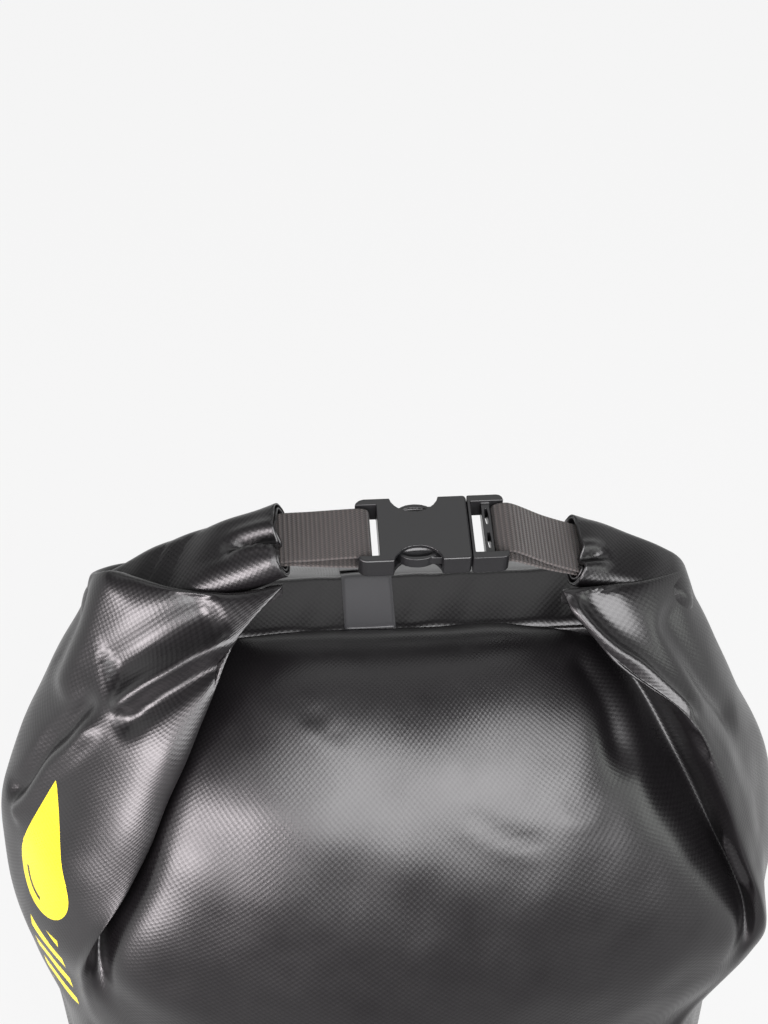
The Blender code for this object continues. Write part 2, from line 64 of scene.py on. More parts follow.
JOINTS = {j["name"]: j for j in frame["record"]["behaviour"]["joints"]}
SLIDE_AXIS = Vector(JOINTS["buckle_slide"]["axis"]).normalized()
SQUEEZE_AXIS = Vector(JOINTS["prong_rear_squeeze"]["axis"]).normalized()
LOOP_UP = SQUEEZE_AXIS if SQUEEZE_AXIS.z > 0 else -SQUEEZE_AXIS
LOOP_BACK = LOOP_UP.cross(SLIDE_AXIS).normalized()
BUCKLE_LEFT = node_box("buckle_female")[0][0]
BUCKLE_RIGHT = node_box("buckle_male_frame")[1][0]

ROLL_WIDTH = 0.035
ROLL_THICK = 0.012
LOOP_STRAIGHT = 0.114        # half length of the roll's straight lower run
LOOP_RADIUS = 0.010          # radius of its hairpin bends
LOOP_RISE = math.radians(25) # slope of the two arms
LEFT_END = 0.2215            # lengths along the loop from its middle to its ends
RIGHT_END = 0.1865
LOOP_CENTRE = Vector((0, 0, 0.430))
BUCKLE_RISE = 0.052          # from the roll's middle to the buckle's
BUCKLE_X = (BUCKLE_LEFT + BUCKLE_RIGHT) / 2
BUCKLE_LENGTH = BUCKLE_RIGHT - BUCKLE_LEFT
SEAM_HALF_WIDTH = 0.011
BUCKLE_MIDDLE = Vector((BUCKLE_X, 0, 0)) + LOOP_CENTRE + LOOP_UP * BUCKLE_RISE


# ---------------------------------------------------------------- camera
def camera():
    azimuth, elevation = math.radians(-4.0), math.radians(34.0)
    distance, focal_px, height_px = 0.79, 1900.0, 1024.0
    back = Vector((math.sin(azimuth) * math.cos(elevation), -math.cos(azimuth) * math.cos(elevation),
                   math.sin(elevation)))
    right = Vector((math.cos(azimuth), math.sin(azimuth), 0))
    up = back.cross(right).normalized()
    data = bpy.data.cameras.new("camera")
    data.sensor_fit = "VERTICAL"
    data.sensor_height = 36.0
    data.lens = focal_px * data.sensor_height / height_px
    cam = bpy.data.objects.new("camera", data)
    bpy.context.scene.collection.objects.link(cam)
    aim_right, aim_down = 0.0195, 0.0096
    place = BUCKLE_MIDDLE + back * distance - right * aim_right + up * aim_down
    turn = Matrix((right, up, back)).transposed()
    cam.matrix_world = Matrix.Translation(place) @ turn.to_4x4()
    bpy.context.scene.camera = cam


camera()


# ---------------------------------------------------------------- mesh helpers
def link(obj):
    bpy.context.scene.collection.objects.link(obj)
    return obj


def spline(points, samples, closed=False):
    """Centripetal Catmull-Rom through the points; samples per span."""
    p = np.asarray(points, float)
    n = len(p)
    out = []
    spans = n if closed else n - 1
    for i in range(spans):
        if closed:
            a, b, c, d = p[(i - 1) % n], p[i], p[(i + 1) % n], p[(i + 2) % n]
        else:
            b, c = p[i], p[i + 1]
            a = p[i - 1] if i > 0 else 2 * b - c
            d = p[i + 2] if i + 2 < n else 2 * c - b
        t0 = 0.0
        t1 = t0 + max(np.linalg.norm(b - a), 1e-6) ** 0.5
        t2 = t1 + max(np.linalg.norm(c - b), 1e-6) ** 0.5
        t3 = t2 + max(np.linalg.norm(d - c), 1e-6) ** 0.5
        for k in range(samples):
            t = t1 + (t2 - t1) * k / samples
            a1 = (t1 - t) / (t1 - t0) * a + (t - t0) / (t1 - t0) * b
            a2 = (t2 - t) / (t2 - t1) * b + (t - t1) / (t2 - t1) * c
            a3 = (t3 - t) / (t3 - t2) * c + (t - t2) / (t3 - t2) * d
            b1 = (t2 - t) / (t2 - t0) * a1 + (t - t0) / (t2 - t0) * a2
            b2 = (t3 - t) / (t3 - t1) * a2 + (t - t1) / (t3 - t1) * a3
            out.append((t2 - t) / (t2 - t1) * b1 + (t - t1) / (t2 - t1) * b2)
    if not closed:
        out.append(p[-1])
    return np.array(out)


def grid_object(name, grid, closed, mat):
    """A sheet through grid[row, column]; UVs are lengths along the cloth in metres."""
    rows, cols = grid.shape[:2]
    span = cols if closed else cols - 1
    faces = []
    for j in range(rows - 1):
        for i in range(span):
            k = (i + 1) % cols
            faces.append((j * cols + i, j * cols + k, (j + 1) * cols + k, (j + 1) * cols + i))
    mesh = bpy.data.meshes.new(name)
    mesh.from_pydata(grid.reshape(-1, 3).tolist(), [], faces)
    around = np.linalg.norm(np.roll(grid, -1, axis=1) - grid, axis=2).mean(axis=0)
    along = np.linalg.norm(np.diff(grid, axis=0), axis=2).mean(axis=1)
    us = np.concatenate([[0], np.cumsum(around)])
    vs = np.concatenate([[0], np.cumsum(along)])
    layer = mesh.uv_layers.new(name="cloth")
    uv = []
    for j in range(rows - 1):
        for i in range(span):
            uv += [us[i], vs[j], us[i + 1], vs[j], us[i + 1], vs[j + 1], us[i], vs[j + 1]]
    layer.data.foreach_set("uv", np.array(uv, np.float32))
    mesh.shade_smooth()
    mesh.materials.append(mat)
    return link(bpy.data.objects.new(name, mesh))


def sheet_object(name, grid, closed, mat, thickness):
    obj = grid_object(name, grid, closed, mat)
    mod = obj.modifiers.new("sheet", "SOLIDIFY")
    mod.thickness = thickness
    mod.offset = 0
    return obj


# ---------------------------------------------------------------- materials
def new_material(name):
    mat = bpy.data.materials.new(name)
    mat.use_nodes = True
    nodes, links = mat.node_tree.nodes, mat.node_tree.links
    return mat, nodes, links, nodes["Principled BSDF"]


def math_node(nodes, links, operation, a, b=None):
    node = nodes.new("ShaderNodeMath")
    node.operation = operation
    for slot, value in enumerate((a, b)):
        if value is None:
            continue
        if isinstance(value, (int, float)):
            node.inputs[slot].default_value = value
        else:
            links.new(value, node.inputs[slot])
    return node.outputs[0]


def noise_node(nodes, links, coord, scale, detail=2.0):
    node = nodes.new("ShaderNodeTexNoise")
    node.inputs["Scale"].default_value = scale
    node.inputs["Detail"].default_value = detail
    links.new(coord.outputs["Object"], node.inputs["Vector"])
    return node.outputs[0]


def map_range(nodes, links, value, low, high, to_low, to_high, kind="LINEAR"):
    node = nodes.new("ShaderNodeMapRange")
    node.interpolation_type = kind
    for socket, number in (("From Min", low), ("From Max", high), ("To Min", to_low), ("To Max", to_high)):
        node.inputs[socket].default_value = number
    links.new(value, node.inputs["Value"])
    return node.outputs[0]


def bump_node(nodes, links, height, strength, distance):
    node = nodes.new("ShaderNodeBump")
    node.inputs["Strength"].default_value = strength
    node.inputs["Distance"].default_value = distance
    links.new(height, node.inputs["Height"])
    return node


def print_mask(nodes, links):
    """A plain water drop above three slanted bars, from the cloth's own flat coordinates."""
    place = nodes.new("ShaderNodeUVMap")
    place.uv_map = "mark"
    split = nodes.new("ShaderNodeSeparateXYZ")
    links.new(place.outputs[0], split.inputs[0])
    u, v = split.outputs[0], split.outputs[1]
    wide = math_node(nodes, links, "ABSOLUTE", u)
    square = math_node(nodes, links, "ADD", math_node(nodes, links, "MULTIPLY", u, u),
                       math_node(nodes, links, "MULTIPLY", v, v))
    reach = math_node(nodes, links, "SQRT", square)
    disc = math_node(nodes, links, "LESS_THAN", reach, 0.0200)
    slope = math_node(nodes, links, "MULTIPLY_ADD", v, -0.43)
    slope.node.inputs[2].default_value = 0.0222
    tip = math_node(nodes, links, "LESS_THAN", wide, slope)
    above = math_node(nodes, links, "GREATER_THAN", v, 0.0078)
    drop = math_node(nodes, links, "MAXIMUM", disc, math_node(nodes, links, "MULTIPLY", tip, above))
    gap = math_node(nodes, links, "SUBTRACT", reach, 0.0130)
    ring = math_node(nodes, links, "LESS_THAN", math_node(nodes, links, "ABSOLUTE", gap), 0.0011)
    side = math_node(nodes, links, "MULTIPLY", math_node(nodes, links, "LESS_THAN", v, -0.002),
                     math_node(nodes, links, "LESS_THAN", u, -0.001))
    drop = math_node(nodes, links, "SUBTRACT", drop, math_node(nodes, links, "MULTIPLY", ring, side))
    slant = math_node(nodes, links, "MULTIPLY_ADD", u, 0.45)
    links.new(v, slant.node.inputs[2])
    wave = math_node(nodes, links, "SINE", math_node(nodes, links, "MULTIPLY", slant, 2 * math.pi / 0.0140))
    bars = math_node(nodes, links, "GREATER_THAN", wave, 0.1)
    bars = math_node(nodes, links, "MULTIPLY", bars, math_node(nodes, links, "LESS_THAN", wide, 0.0115))
    bars = math_node(nodes, links, "MULTIPLY", bars, math_node(nodes, links, "LESS_THAN", v, -0.029))
    bars = math_node(nodes, links, "MULTIPLY", bars, math_node(nodes, links, "GREATER_THAN", v, -0.073))
    return math_node(nodes, links, "MAXIMUM", drop, bars)


def coated_fabric(name, color, roughness, pitch=0.0026, depth=0.5, mark=False):
    """Satin PVC film over a scrim: rows of small cushions between crossing threads."""
    mat, nodes, links, shader = new_material(name)
    shader.inputs["Base Color"].default_value = (*color, 1)
    shader.inputs["Specular IOR Level"].default_value = 0.5
    if mark:
        ink = nodes.new("ShaderNodeMix")
        ink.data_type = "RGBA"
        ink.inputs["A"].default_value = (*color, 1)
        ink.inputs["B"].default_value = (0.54, 0.43, 0.006, 1)
        links.new(print_mask(nodes, links), ink.inputs["Factor"])
        links.new(ink.outputs["Result"], shader.inputs["Base Color"])
    coord = nodes.new("ShaderNodeTexCoord")
    place = nodes.new("ShaderNodeUVMap")
    place.uv_map = "cloth"
    split = nodes.new("ShaderNodeSeparateXYZ")
    links.new(place.outputs[0], split.inputs[0])
    wave = 2 * math.pi / pitch
    sin_a = math_node(nodes, links, "SINE", math_node(nodes, links, "MULTIPLY", split.outputs[0], wave))
    sin_b = math_node(nodes, links, "SINE", math_node(nodes, links, "MULTIPLY", split.outputs[1], wave))
    weave = math_node(nodes, links, "MULTIPLY", sin_a, sin_b)
    noise = noise_node(nodes, links, coord, 45.0, 5.0)
    fine = noise_node(nodes, links, coord, 900.0, 3.0)
    spread = map_range(nodes, links, noise, 0.3, 0.7, roughness - 0.04, roughness + 0.05)
    weave_rough = math_node(nodes, links, "MULTIPLY", weave, -0.05)
    links.new(math_node(nodes, links, "ADD", spread, weave_rough), shader.inputs["Roughness"])
    height = math_node(nodes, links, "ADD", weave, math_node(nodes, links, "MULTIPLY", fine, 0.5))
    bump = bump_node(nodes, links, height, depth, 0.00005)
    soft = bump_node(nodes, links, noise, 0.12, 0.0012)
    links.new(soft.outputs[0], bump.inputs["Normal"])
    links.new(bump.outputs[0], shader.inputs["Normal"])
    return mat


def moulded_plastic(name, color, roughness):
    mat, nodes, links, shader = new_material(name)
    shader.inputs["Base Color"].default_value = (*color, 1)
    coord = nodes.new("ShaderNodeTexCoord")
    noise = noise_node(nodes, links, coord, 1400.0, 4.0)
    spread = map_range(nodes, links, noise, 0.0, 1.0, roughness - 0.05, roughness + 0.06)
    links.new(spread, shader.inputs["Roughness"])
    links.new(bump_node(nodes, links, noise, 0.25, 0.00004).outputs[0], shader.inputs["Normal"])
    return mat


def webbing_material():
    """Transverse ribs of thick weft with a fine warp between them; the colour is painted shade, darker in
    the low gaps of the weave and lighter on the raised ribs, with some random tone.
    """
    mat, nodes, links, shader = new_material("webbing")
    coord = nodes.new("ShaderNodeTexCoord")
    split = nodes.new("ShaderNodeSeparateXYZ")
    links.new(coord.outputs["UV"], split.inputs[0])
    rib_wave = 2 * math.pi / 0.0019
    warp_wave = 2 * math.pi / 0.0011
    rib = math_node(nodes, links, "SINE", math_node(nodes, links, "MULTIPLY", split.outputs[1], rib_wave))
    warp = math_node(nodes, links, "SINE", math_node(nodes, links, "MULTIPLY", split.outputs[0], warp_wave))
    noise = noise_node(nodes, links, coord, 2500.0)
    cross = math_node(nodes, links, "MULTIPLY", rib, warp)
    height = math_node(nodes, links, "ADD", math_node(nodes, links, "MULTIPLY", rib, 0.8),
                       math_node(nodes, links, "MULTIPLY", cross, 0.5))
    height = math_node(nodes, links, "ADD", height, math_node(nodes, links, "MULTIPLY", noise, 0.8))
    # painted shade: low gaps of the weave are coloured darker, rib tops lighter
    painted_gap_shade = map_range(nodes, links, height, -1.0, 1.8, 0.0, 1.0)
    mix = nodes.new("ShaderNodeMix")
    mix.data_type = "RGBA"
    mix.inputs["A"].default_value = (0.006, 0.005, 0.0048, 1)
    mix.inputs["B"].default_value = (0.046, 0.037, 0.034, 1)
    links.new(painted_gap_shade, mix.inputs["Factor"])
    links.new(mix.outputs["Result"], shader.inputs["Base Color"])
    shader.inputs["Roughness"].default_value = 0.72
    shader.inputs["Sheen Weight"].default_value = 0.10
    shader.inputs["Sheen Roughness"].default_value = 0.5
    links.new(bump_node(nodes, links, height, 0.8, 0.00035).outputs[0], shader.inputs["Normal"])
    return mat


FABRIC = coated_fabric("coated_fabric", (0.0034, 0.0030, 0.0034), 0.34)
PRINTED = coated_fabric("printed_fabric", (0.0034, 0.0030, 0.0034), 0.34, mark=True)
TAPE = coated_fabric("seam_tape", (0.030, 0.030, 0.032), 0.42, depth=0.12)
PLASTIC = moulded_plastic("moulded_plastic", (0.0065, 0.0065, 0.007), 0.30)
WEBBING = webbing_material()
THREAD = moulded_plastic("thread", (0.02, 0.02, 0.02), 0.7)


# ---------------------------------------------------------------- the bag's sheet
# Lines that run down the cloth from the roll to the foot of the folds, front centre first,
# then round the left side, the back and the right side. Millimetres.
FRONT = [(0, 3, 422), (0, -25, 433), (0, -52, 423), (0, -80, 392), (0, -96, 345), (0, -102, 290),
         (0, -100, 262), (0, -96, 220)]
LEFT_BELLY = [(-46, 3, 422), (-46, -23, 433), (-53, -49, 421), (-62, -75, 388), (-72, -89, 343),
              (-82, -92, 292), (-81, -90, 262), (-76, -85, 220)]
LEFT_BROW = [(-64, 3, 421), (-65, -17, 429), (-77, -41, 414), (-92, -63, 386), (-108, -75, 342),
             (-124, -79, 302), (-124, -75, 272), (-112, -71, 220)]
LEFT_VALLEY = [(-72, 2, 430), (-77, -9, 427), (-88, -26, 411), (-101, -40, 382), (-116, -49, 341),
               (-132, -58, 306), (-133, -70, 276), (-126, -63, 220)]
LEFT_RIM = [(-52, -33, 468), (-72, -42, 446), (-85, -50, 420), (-100, -57, 386), (-117, -64, 346),
            (-135, -70, 303), (-138, -69, 276), (-134, -58, 220)]
LEFT_EDGE = [(-46, -36, 471), (-66, -46, 451), (-80, -56, 421), (-96, -65, 386), (-114, -73, 345),
             (-137, -75, 303), (-142, -67, 274), (-138, -54, 220)]
LEFT_FACE = [(-66, -35, 466), (-84, -48, 440), (-97, -60, 411), (-112, -67, 377), (-127, -71, 338),
             (-142, -68, 298), (-146, -60, 272), (-144, -50, 220)]
LEFT_FLAP = [(-90, -30, 466), (-104, -42, 440), (-118, -50, 408), (-134, -54, 371), (-147, -57, 335),
             (-156, -52, 294), (-157, -46, 270), (-150, -42, 220)]
LEFT_SHOULDER = [(-112, -19, 466), (-123, -25, 441), (-142, -28, 398), (-158, -30, 358), (-167, -30, 325),
                 (-171, -28, 284), (-168, -26, 262), (-158, -24, 220)]
LEFT_SIDE = [(-126, -5, 459), (-134, -3, 438), (-156, 0, 393), (-173, 0, 352), (-179, 0, 324),
             (-177, 0, 284), (-172, 0, 262), (-164, 0, 220)]
LEFT_BACK = [(-110, 13, 451), (-119, 24, 436), (-134, 44, 395), (-142, 56, 355), (-142, 62, 320),
             (-136, 68, 275), (-130, 69, 252), (-122, 70, 220)]
LEFT_REAR = [(-62, 18, 436), (-62, 28, 431), (-66, 52, 414), (-68, 74, 382), (-68, 86, 340),
             (-68, 92, 285), (-67, 94, 256), (-66, 95, 220)]
BACK = [(0, 17, 436), (0, 29, 431), (0, 58, 415), (0, 80, 384), (0, 94, 342), (0, 101, 288), (0, 103, 256),
        (0, 104, 220)]
RIGHT_REAR = [(80, 17, 436), (80, 27, 431), (74, 52, 414), (72, 73, 382), (70, 85, 340), (68, 92, 285),
              (67, 94, 256), (66, 95, 220)]
RIGHT_BACK = [(110, 13, 447), (119, 24, 434), (133, 44, 395), (142, 56, 352), (142, 62, 318),
              (136, 68, 275), (130, 69, 252), (122, 70, 220)]
RIGHT_SIDE = [(127, -5, 450), (136, -4, 430), (158, 0, 382), (176, 0, 343), (181, -4, 310), (178, -6, 276),
              (172, -4, 256), (164, 0, 220)]
RIGHT_FLAP = [(109, -25, 457), (119, -36, 433), (140, -42, 398), (156, -48, 362), (166, -50, 325),
              (171, -46, 286), (168, -42, 262), (150, -42, 220)]
RIGHT_FACE = [(88, -34, 461), (102, -46, 440), (128, -56, 411), (146, -60, 375), (158, -62, 336),
              (170, -58, 286), (168, -52, 264), (146, -50, 220)]
RIGHT_EDGE = [(70, -36, 462), (90, -52, 438), (121, -63, 414), (137, -67, 380), (150, -69, 343),
              (167, -64, 290), (164, -58, 264), (140, -57, 220)]
RIGHT_RIM = [(76, -32, 456), (90, -44, 434), (117, -54, 410), (133, -60, 378), (147, -64, 341),
             (163, -64, 290), (160, -62, 266), (134, -62, 220)]
RIGHT_VALLEY = [(80, 2, 428), (87, -10, 424), (105, -24, 406), (123, -37, 376), (140, -46, 340),
                (159, -57, 293), (155, -65, 268), (128, -63, 220)]
RIGHT_BROW = [(72, 3, 422), (76, -18, 428), (88, -42, 413), (100, -62, 384), (122, -73, 342),
              (150, -71, 294), (145, -71, 268), (114, -71, 220)]
RIGHT_BELLY = [(46, 3, 422), (46, -25, 433), (50, -51, 421), (56, -77, 390), (66, -92, 345),
               (78, -94, 290), (80, -91, 262), (76, -85, 220)]
CLOTH_LINES = [FRONT, LEFT_BELLY, LEFT_BROW, LEFT_VALLEY, LEFT_RIM, LEFT_EDGE, LEFT_FACE, LEFT_FLAP,
               LEFT_SHOULDER, LEFT_SIDE, LEFT_BACK, LEFT_REAR, BACK, RIGHT_REAR, RIGHT_BACK, RIGHT_SIDE,
               RIGHT_FLAP, RIGHT_FACE, RIGHT_EDGE, RIGHT_RIM, RIGHT_VALLEY, RIGHT_BROW, RIGHT_BELLY]
UNDER_ROLL = [FRONT, LEFT_BELLY, LEFT_BROW, LEFT_VALLEY, LEFT_REAR, BACK, RIGHT_REAR, RIGHT_VALLEY,
              RIGHT_BROW, RIGHT_BELLY]
LIP_ENDS = [LEFT_RIM, LEFT_EDGE, RIGHT_EDGE, RIGHT_RIM]
AROUND = 17                  # samples between two lines
DOWN = 13                    # samples between two heights
FOOT_HALF_WIDTH = 0.164      # the oval on which the lines end, above the round base
FOOT_HALF_DEPTH = 0.104
BASE_EDGE = 0.0022           # the cloth's foot stands this far inside the base disc's edge

# Creases: a line on the cloth and the bumps beside it, each (offset, half width, height).
# Offsets are across the line, to the left of it for someone who walks it on the cloth.
FINGER = [(-64, -46, 456), (-74, -47, 450), (-84, -47, 445), (-93, -47, 439), (-102, -47, 433),
          (-110, -46, 426), (-116, -45, 420), (-122, -42, 416)]
FINGER_DENT = [(-110, -48, 420), (-117, -47, 415), (-123, -45, 411)]
FLAP_STEP = [(-122, -42, 415), (-132, -37, 407), (-141, -33, 393), (-149, -29, 382), (-157, -26, 368),
             (-164, -22, 354), (-173, -15, 340)]
SLEEVE_BAND = [(-112, -17, 470), (-122, -17, 454), (-133, -19, 428), (-144, -20, 403)]
RIGHT_FOLD = [(71, -36, 461), (76, -42, 456), (83, -47, 449), (91, -50, 442), (101, -52, 435),
              (110, -55, 426), (118, -58, 419), (125, -62, 412)]
RIGHT_TUCK = [(124, -62, 408), (128, -64, 400), (130, -64, 388)]
RIGHT_INNER = [(142, -59, 343), (148, -61, 328), (155, -62, 309)]
RIGHT_SHADE = [(114, -29, 450), (126, -33, 427), (140, -34, 403), (152, -33, 381)]
DIMPLE = [(80, -28, 431), (86, -36, 421), (91, -43, 412), (94, -50, 404), (98, -59, 392), (100, -65, 380)]
WRINKLES = [
    [(-40, -53, 421), (-34, -56, 419), (-27, -54, 421)],
    [(66, -79, 383), (76, -78, 379), (86, -73, 381)],
    [(-44, -48, 425), (-34, -58, 417), (-21, -66, 411)],
    [(24, -83, 388), (42, -86, 374), (62, -84, 366)],
]
CREASES = [
    (FINGER, [(0.0, 4.4, 5.0), (14.0, 9.0, -4.8), (-8.0, 5.0, -4.0)], 12.0, 10.0),
    (FINGER_DENT, [(0.0, 5.0, -2.0)], 7.0, 8.0),
    (FLAP_STEP, [(-5.5, 5.0, 3.6), (4.0, 4.6, -4.4)], 16.0, 9.0),
    (SLEEVE_BAND, [(0.0, 9.0, 2.6), (16.0, 8.0, -2.6)], 10.0, 12.0),
    (RIGHT_FOLD, [(0.0, 3.0, 3.4), (7.5, 5.0, -2.8), (-8.0, 7.0, -3.0)], 9.0, 7.0),
    (RIGHT_TUCK, [(0.0, 4.4, -2.8)], 7.0, 9.0),
    (RIGHT_INNER, [(0.0, 1.8, 3.0), (-4.0, 2.5, -2.0)], 6.0, 8.0),
    (RIGHT_SHADE, [(0.0, 9.0, -3.4)], 12.0, 10.0),
    (DIMPLE, [(0.0, 8.0, -4.6)], 12.0, 22.0),
] + [(path, [(0.0, 3.6, -0.5), (5.5, 4.0, 0.4)], 8.0, 8.0) for path in WRINKLES]


def foot_line(line):
    """From the foot of a line down to the round base, keeping its share of the circumference."""
    base_low, base_high = node_box("base_panel")
    radius = (base_high[0] - base_low[0]) / 2 - BASE_EDGE
    x, y, z = (c / 1000 for c in line[-1])
    angle = math.atan2(y / FOOT_HALF_DEPTH, x / FOOT_HALF_WIDTH)
    round_x, round_y = radius * math.cos(angle), radius * math.sin(angle)
    points = []
    for height in (0.150, 0.080, 0.030, 0.0020):
        share = ease(1 - height / z)
        points.append((x + (round_x - x) * share, y + (round_y - y) * share, height))
    return points


def lip_line(line):
    """The cloth's rounded upper edge: over the top and down on the inside, next to the roll."""
    x, y, z = line[0]
    size = 0.3 if line in UNDER_ROLL else 0.5 if line in LIP_ENDS else 1.0
    aim = (x, 10) if line in UNDER_ROLL else (min(max(x, -105), 100), -6)
    way = np.array(aim, float) - (x, y)
    way /= np.linalg.norm(way)
    inside = [(7.0, -15.0), (6.5, -6.0), (3.6, -0.6)]
    return [((x + way[0] * far * size) / 1000, (y + way[1] * far * size) / 1000, (z + drop * size) / 1000)
            for far, drop in inside]


def surface_normals(grid, closed):
    if closed:
        across = np.roll(grid, -1, axis=1) - np.roll(grid, 1, axis=1)
    else:
        across = np.gradient(grid, axis=1)
    normals = np.cross(across, np.gradient(grid, axis=0))
    return normals / np.maximum(np.linalg.norm(normals, axis=2, keepdims=True), 1e-12)


def ease(t):
    t = np.clip(t, 0, 1)
    return t * t * (3 - 2 * t)


def press(grid, normals, path, bumps, fade_in, fade_out):
    """Raise and lower a sheet beside a line drawn on it. Millimetres."""
    line = spline(np.array(path, float) / 1000, 10)
    step = np.linalg.norm(np.diff(line, axis=0), axis=1)
    run = np.concatenate([[0], np.cumsum(step)])
    tangent = np.gradient(line, axis=0)
    tangent /= np.linalg.norm(tangent, axis=1, keepdims=True)
    flat, out = grid.reshape(-1, 3), normals.reshape(-1, 3)
    reach = 0.030
    near = np.all((flat > line.min(0) - reach) & (flat < line.max(0) + reach), axis=1).nonzero()[0]
    gap = flat[near][:, None] - line[None]
    square = (gap ** 2).sum(2)
    closest = square.argmin(1)
    facing = out[near][square.argmin(0)]
    rest = flat[near] - line[closest]
    normal, along = out[near], tangent[closest]
    forward = (rest * along).sum(1)
    rest = rest - along * forward[:, None]
    depth = (rest * normal).sum(1)
    rest = rest - normal * depth[:, None]
    side = np.sign((rest * np.cross(along, normal)).sum(1))
    offset = np.linalg.norm(rest, axis=1) * side * 1000
    place = (run[closest] + forward) * 1000
    strength = ease(place / fade_in) * ease((run[-1] * 1000 - place) / fade_out)
    strength = strength * ease(1.7 - np.abs(depth) / 0.007)
    strength = strength * ease(((normal * facing[closest]).sum(1) - 0.15) / 0.45)
    lift = sum(height * np.exp(-((offset - middle) / width) ** 2) for middle, width, height in bumps)
    flat[near] += normal * (lift * strength / 1000)[:, None]


def cloth_grid():
    lines = []
    for line in CLOTH_LINES:
        top = [tuple(c / 1000 for c in p) for p in line]
        lines.append(spline(lip_line(line) + top + foot_line(line), DOWN))
    grid = np.stack(lines, axis=1)
    grid = np.stack([spline(row, AROUND, closed=True) for row in grid])
    x, y, z = grid[..., 0], grid[..., 1], grid[..., 2]
    normals = surface_normals(grid, True)
    ripple = (np.sin(x * 88 + z * 61 + 0.6) * np.sin(z * 74 - x * 23 + y * 31) * 0.45
              + np.sin(x * 171 + y * 96 - z * 127) * 0.12) / 1000
    grid = grid + normals * (ripple * ease((0.455 - z) / 0.03) * (0.25 + 0.75 * ease((z - 0.20) / 0.12))
                             * ease(z / 0.06))[..., None]
    for path, bumps, fade_in, fade_out in CREASES:
        press(grid, surface_normals(grid, True), path, bumps, fade_in, fade_out)
    return grid


MARK_MIDDLE = Vector((-0.157, -0.046, 0.324))
MARK_OUT = Vector((-0.80, -0.56, 0.18)).normalized()
MARK_ACROSS = Vector((0, 0, 1)).cross(MARK_OUT).normalized()
MARK_UP = MARK_OUT.cross(MARK_ACROSS)

GRID = cloth_grid()


def make_base_band():
    """The foot of the wall is welded to the base under a band."""
    normals = surface_normals(GRID, True)
    low = int((GRID[..., 2].mean(axis=1) > 0.0195).nonzero()[0].max()) + 1
    rows = GRID[low:] + normals[low:] * 0.0008
    return sheet_object("base_band", rows, True, FABRIC, 0.0009)


def make_back_tape():
    """The welded tape over the seam, straight down the back."""
    first, last = CLOTH_LINES.index(LEFT_REAR) * AROUND, CLOTH_LINES.index(RIGHT_REAR) * AROUND
    box_low, box_high = node_box("back_seam_tape")
    middle = (box_low[0] + box_high[0]) / 2
    back, out = GRID[:, first:last + 1], surface_normals(GRID, True)[:, first:last + 1]
    rows = []
    for line, normal in zip(back, out):
        if not 0.0235 < line[:, 2].mean() < 0.4335 or line[:, 1].mean() < 0.022:
            continue
        lifted = line + normal * 0.0006
        order = np.argsort(lifted[:, 0])
        xs = np.linspace(middle - SEAM_HALF_WIDTH, middle + SEAM_HALF_WIDTH, 9)
        rows.append([(x, np.interp(x, lifted[order, 0], lifted[order, 1]),
                      np.interp(x, lifted[order, 0], lifted[order, 2])) for x in xs])
    return sheet_object("back_tape", np.array(rows), False, TAPE, 0.0004)


def make_cloth():
    obj = grid_object("cloth", GRID, True, PRINTED)
    mesh = obj.data
    layer = mesh.uv_layers.new(name="mark")
    where = np.empty(len(mesh.vertices) * 3)
    mesh.vertices.foreach_get("co", where)
    offset = where.reshape(-1, 3) - np.array(MARK_MIDDLE)
    flat = np.stack([offset @ np.array(MARK_ACROSS), offset @ np.array(MARK_UP)], axis=1)
    behind = -(offset @ np.array(MARK_OUT))
    # Behind the left flank the print is shrunk, then pushed aside; a small copy stays on the back.
    flat *= 1 + 60 * np.clip(behind - 0.05, 0, 0.02)[:, None]
    flat[:, 0] += 8 * np.maximum(behind - 0.15, 0)
    corner = np.empty(len(mesh.loops), np.int32)
    mesh.loops.foreach_get("vertex_index", corner)
    layer.data.foreach_set("uv", flat[corner].ravel().astype(np.float32))
    return obj


# ---------------------------------------------------------------- the roll and its arms
def loop_frame(q):
    """Point and inward normal at this length along the loop, in its (across, up) plane."""
    side = math.copysign(1.0, q)
    run = abs(q)
    if run <= LOOP_STRAIGHT:
        return (q, 0.0), (0.0, 1.0)
    full = math.pi - LOOP_RISE
    turn = min((run - LOOP_STRAIGHT) / LOOP_RADIUS, full)
    leg = max(0.0, run - LOOP_STRAIGHT - full * LOOP_RADIUS)
    x = LOOP_STRAIGHT + LOOP_RADIUS * math.sin(turn) - leg * math.cos(LOOP_RISE)
    up = LOOP_RADIUS * (1 - math.cos(turn)) + leg * math.sin(LOOP_RISE)
    return (side * x, up), (-side * math.sin(turn), math.cos(turn))


def loop_place(across_up):
    """From the loop's (across, up) plane to the scene."""
    return tuple(LOOP_CENTRE + Vector((across_up[0], 0, 0)) + LOOP_UP * across_up[1])


def loop_point(q, across, inward):
    (x, up), (nx, nu) = loop_frame(q)
    return Vector(loop_place((x + nx * inward, up + nu * inward))) + LOOP_BACK * across


def stadium_point(share, half_width, half_thick):
    """A point on a flat oval, share of a turn from the middle of its outer side, going back first."""
    radius = half_thick
    flat = half_width - radius
    total = 4 * flat + 2 * math.pi * radius
    run = (share % 1.0) * total
    if run < flat:
        return run, -half_thick
    run -= flat
    if run < math.pi * radius:
        turn = run / radius
        return flat + radius * math.sin(turn), -radius * math.cos(turn)
    run -= math.pi * radius
    if run < 2 * flat:
        return flat - run, half_thick
    run -= 2 * flat
    if run < math.pi * radius:
        turn = run / radius
        return -flat - radius * math.sin(turn), radius * math.cos(turn)
    return -flat + run - math.pi * radius, -half_thick


SQUEEZE = 0.30               # the roll is narrower by this share where its arms begin
DOME = 0.0016                # the arms' flat sides are rounded by this much


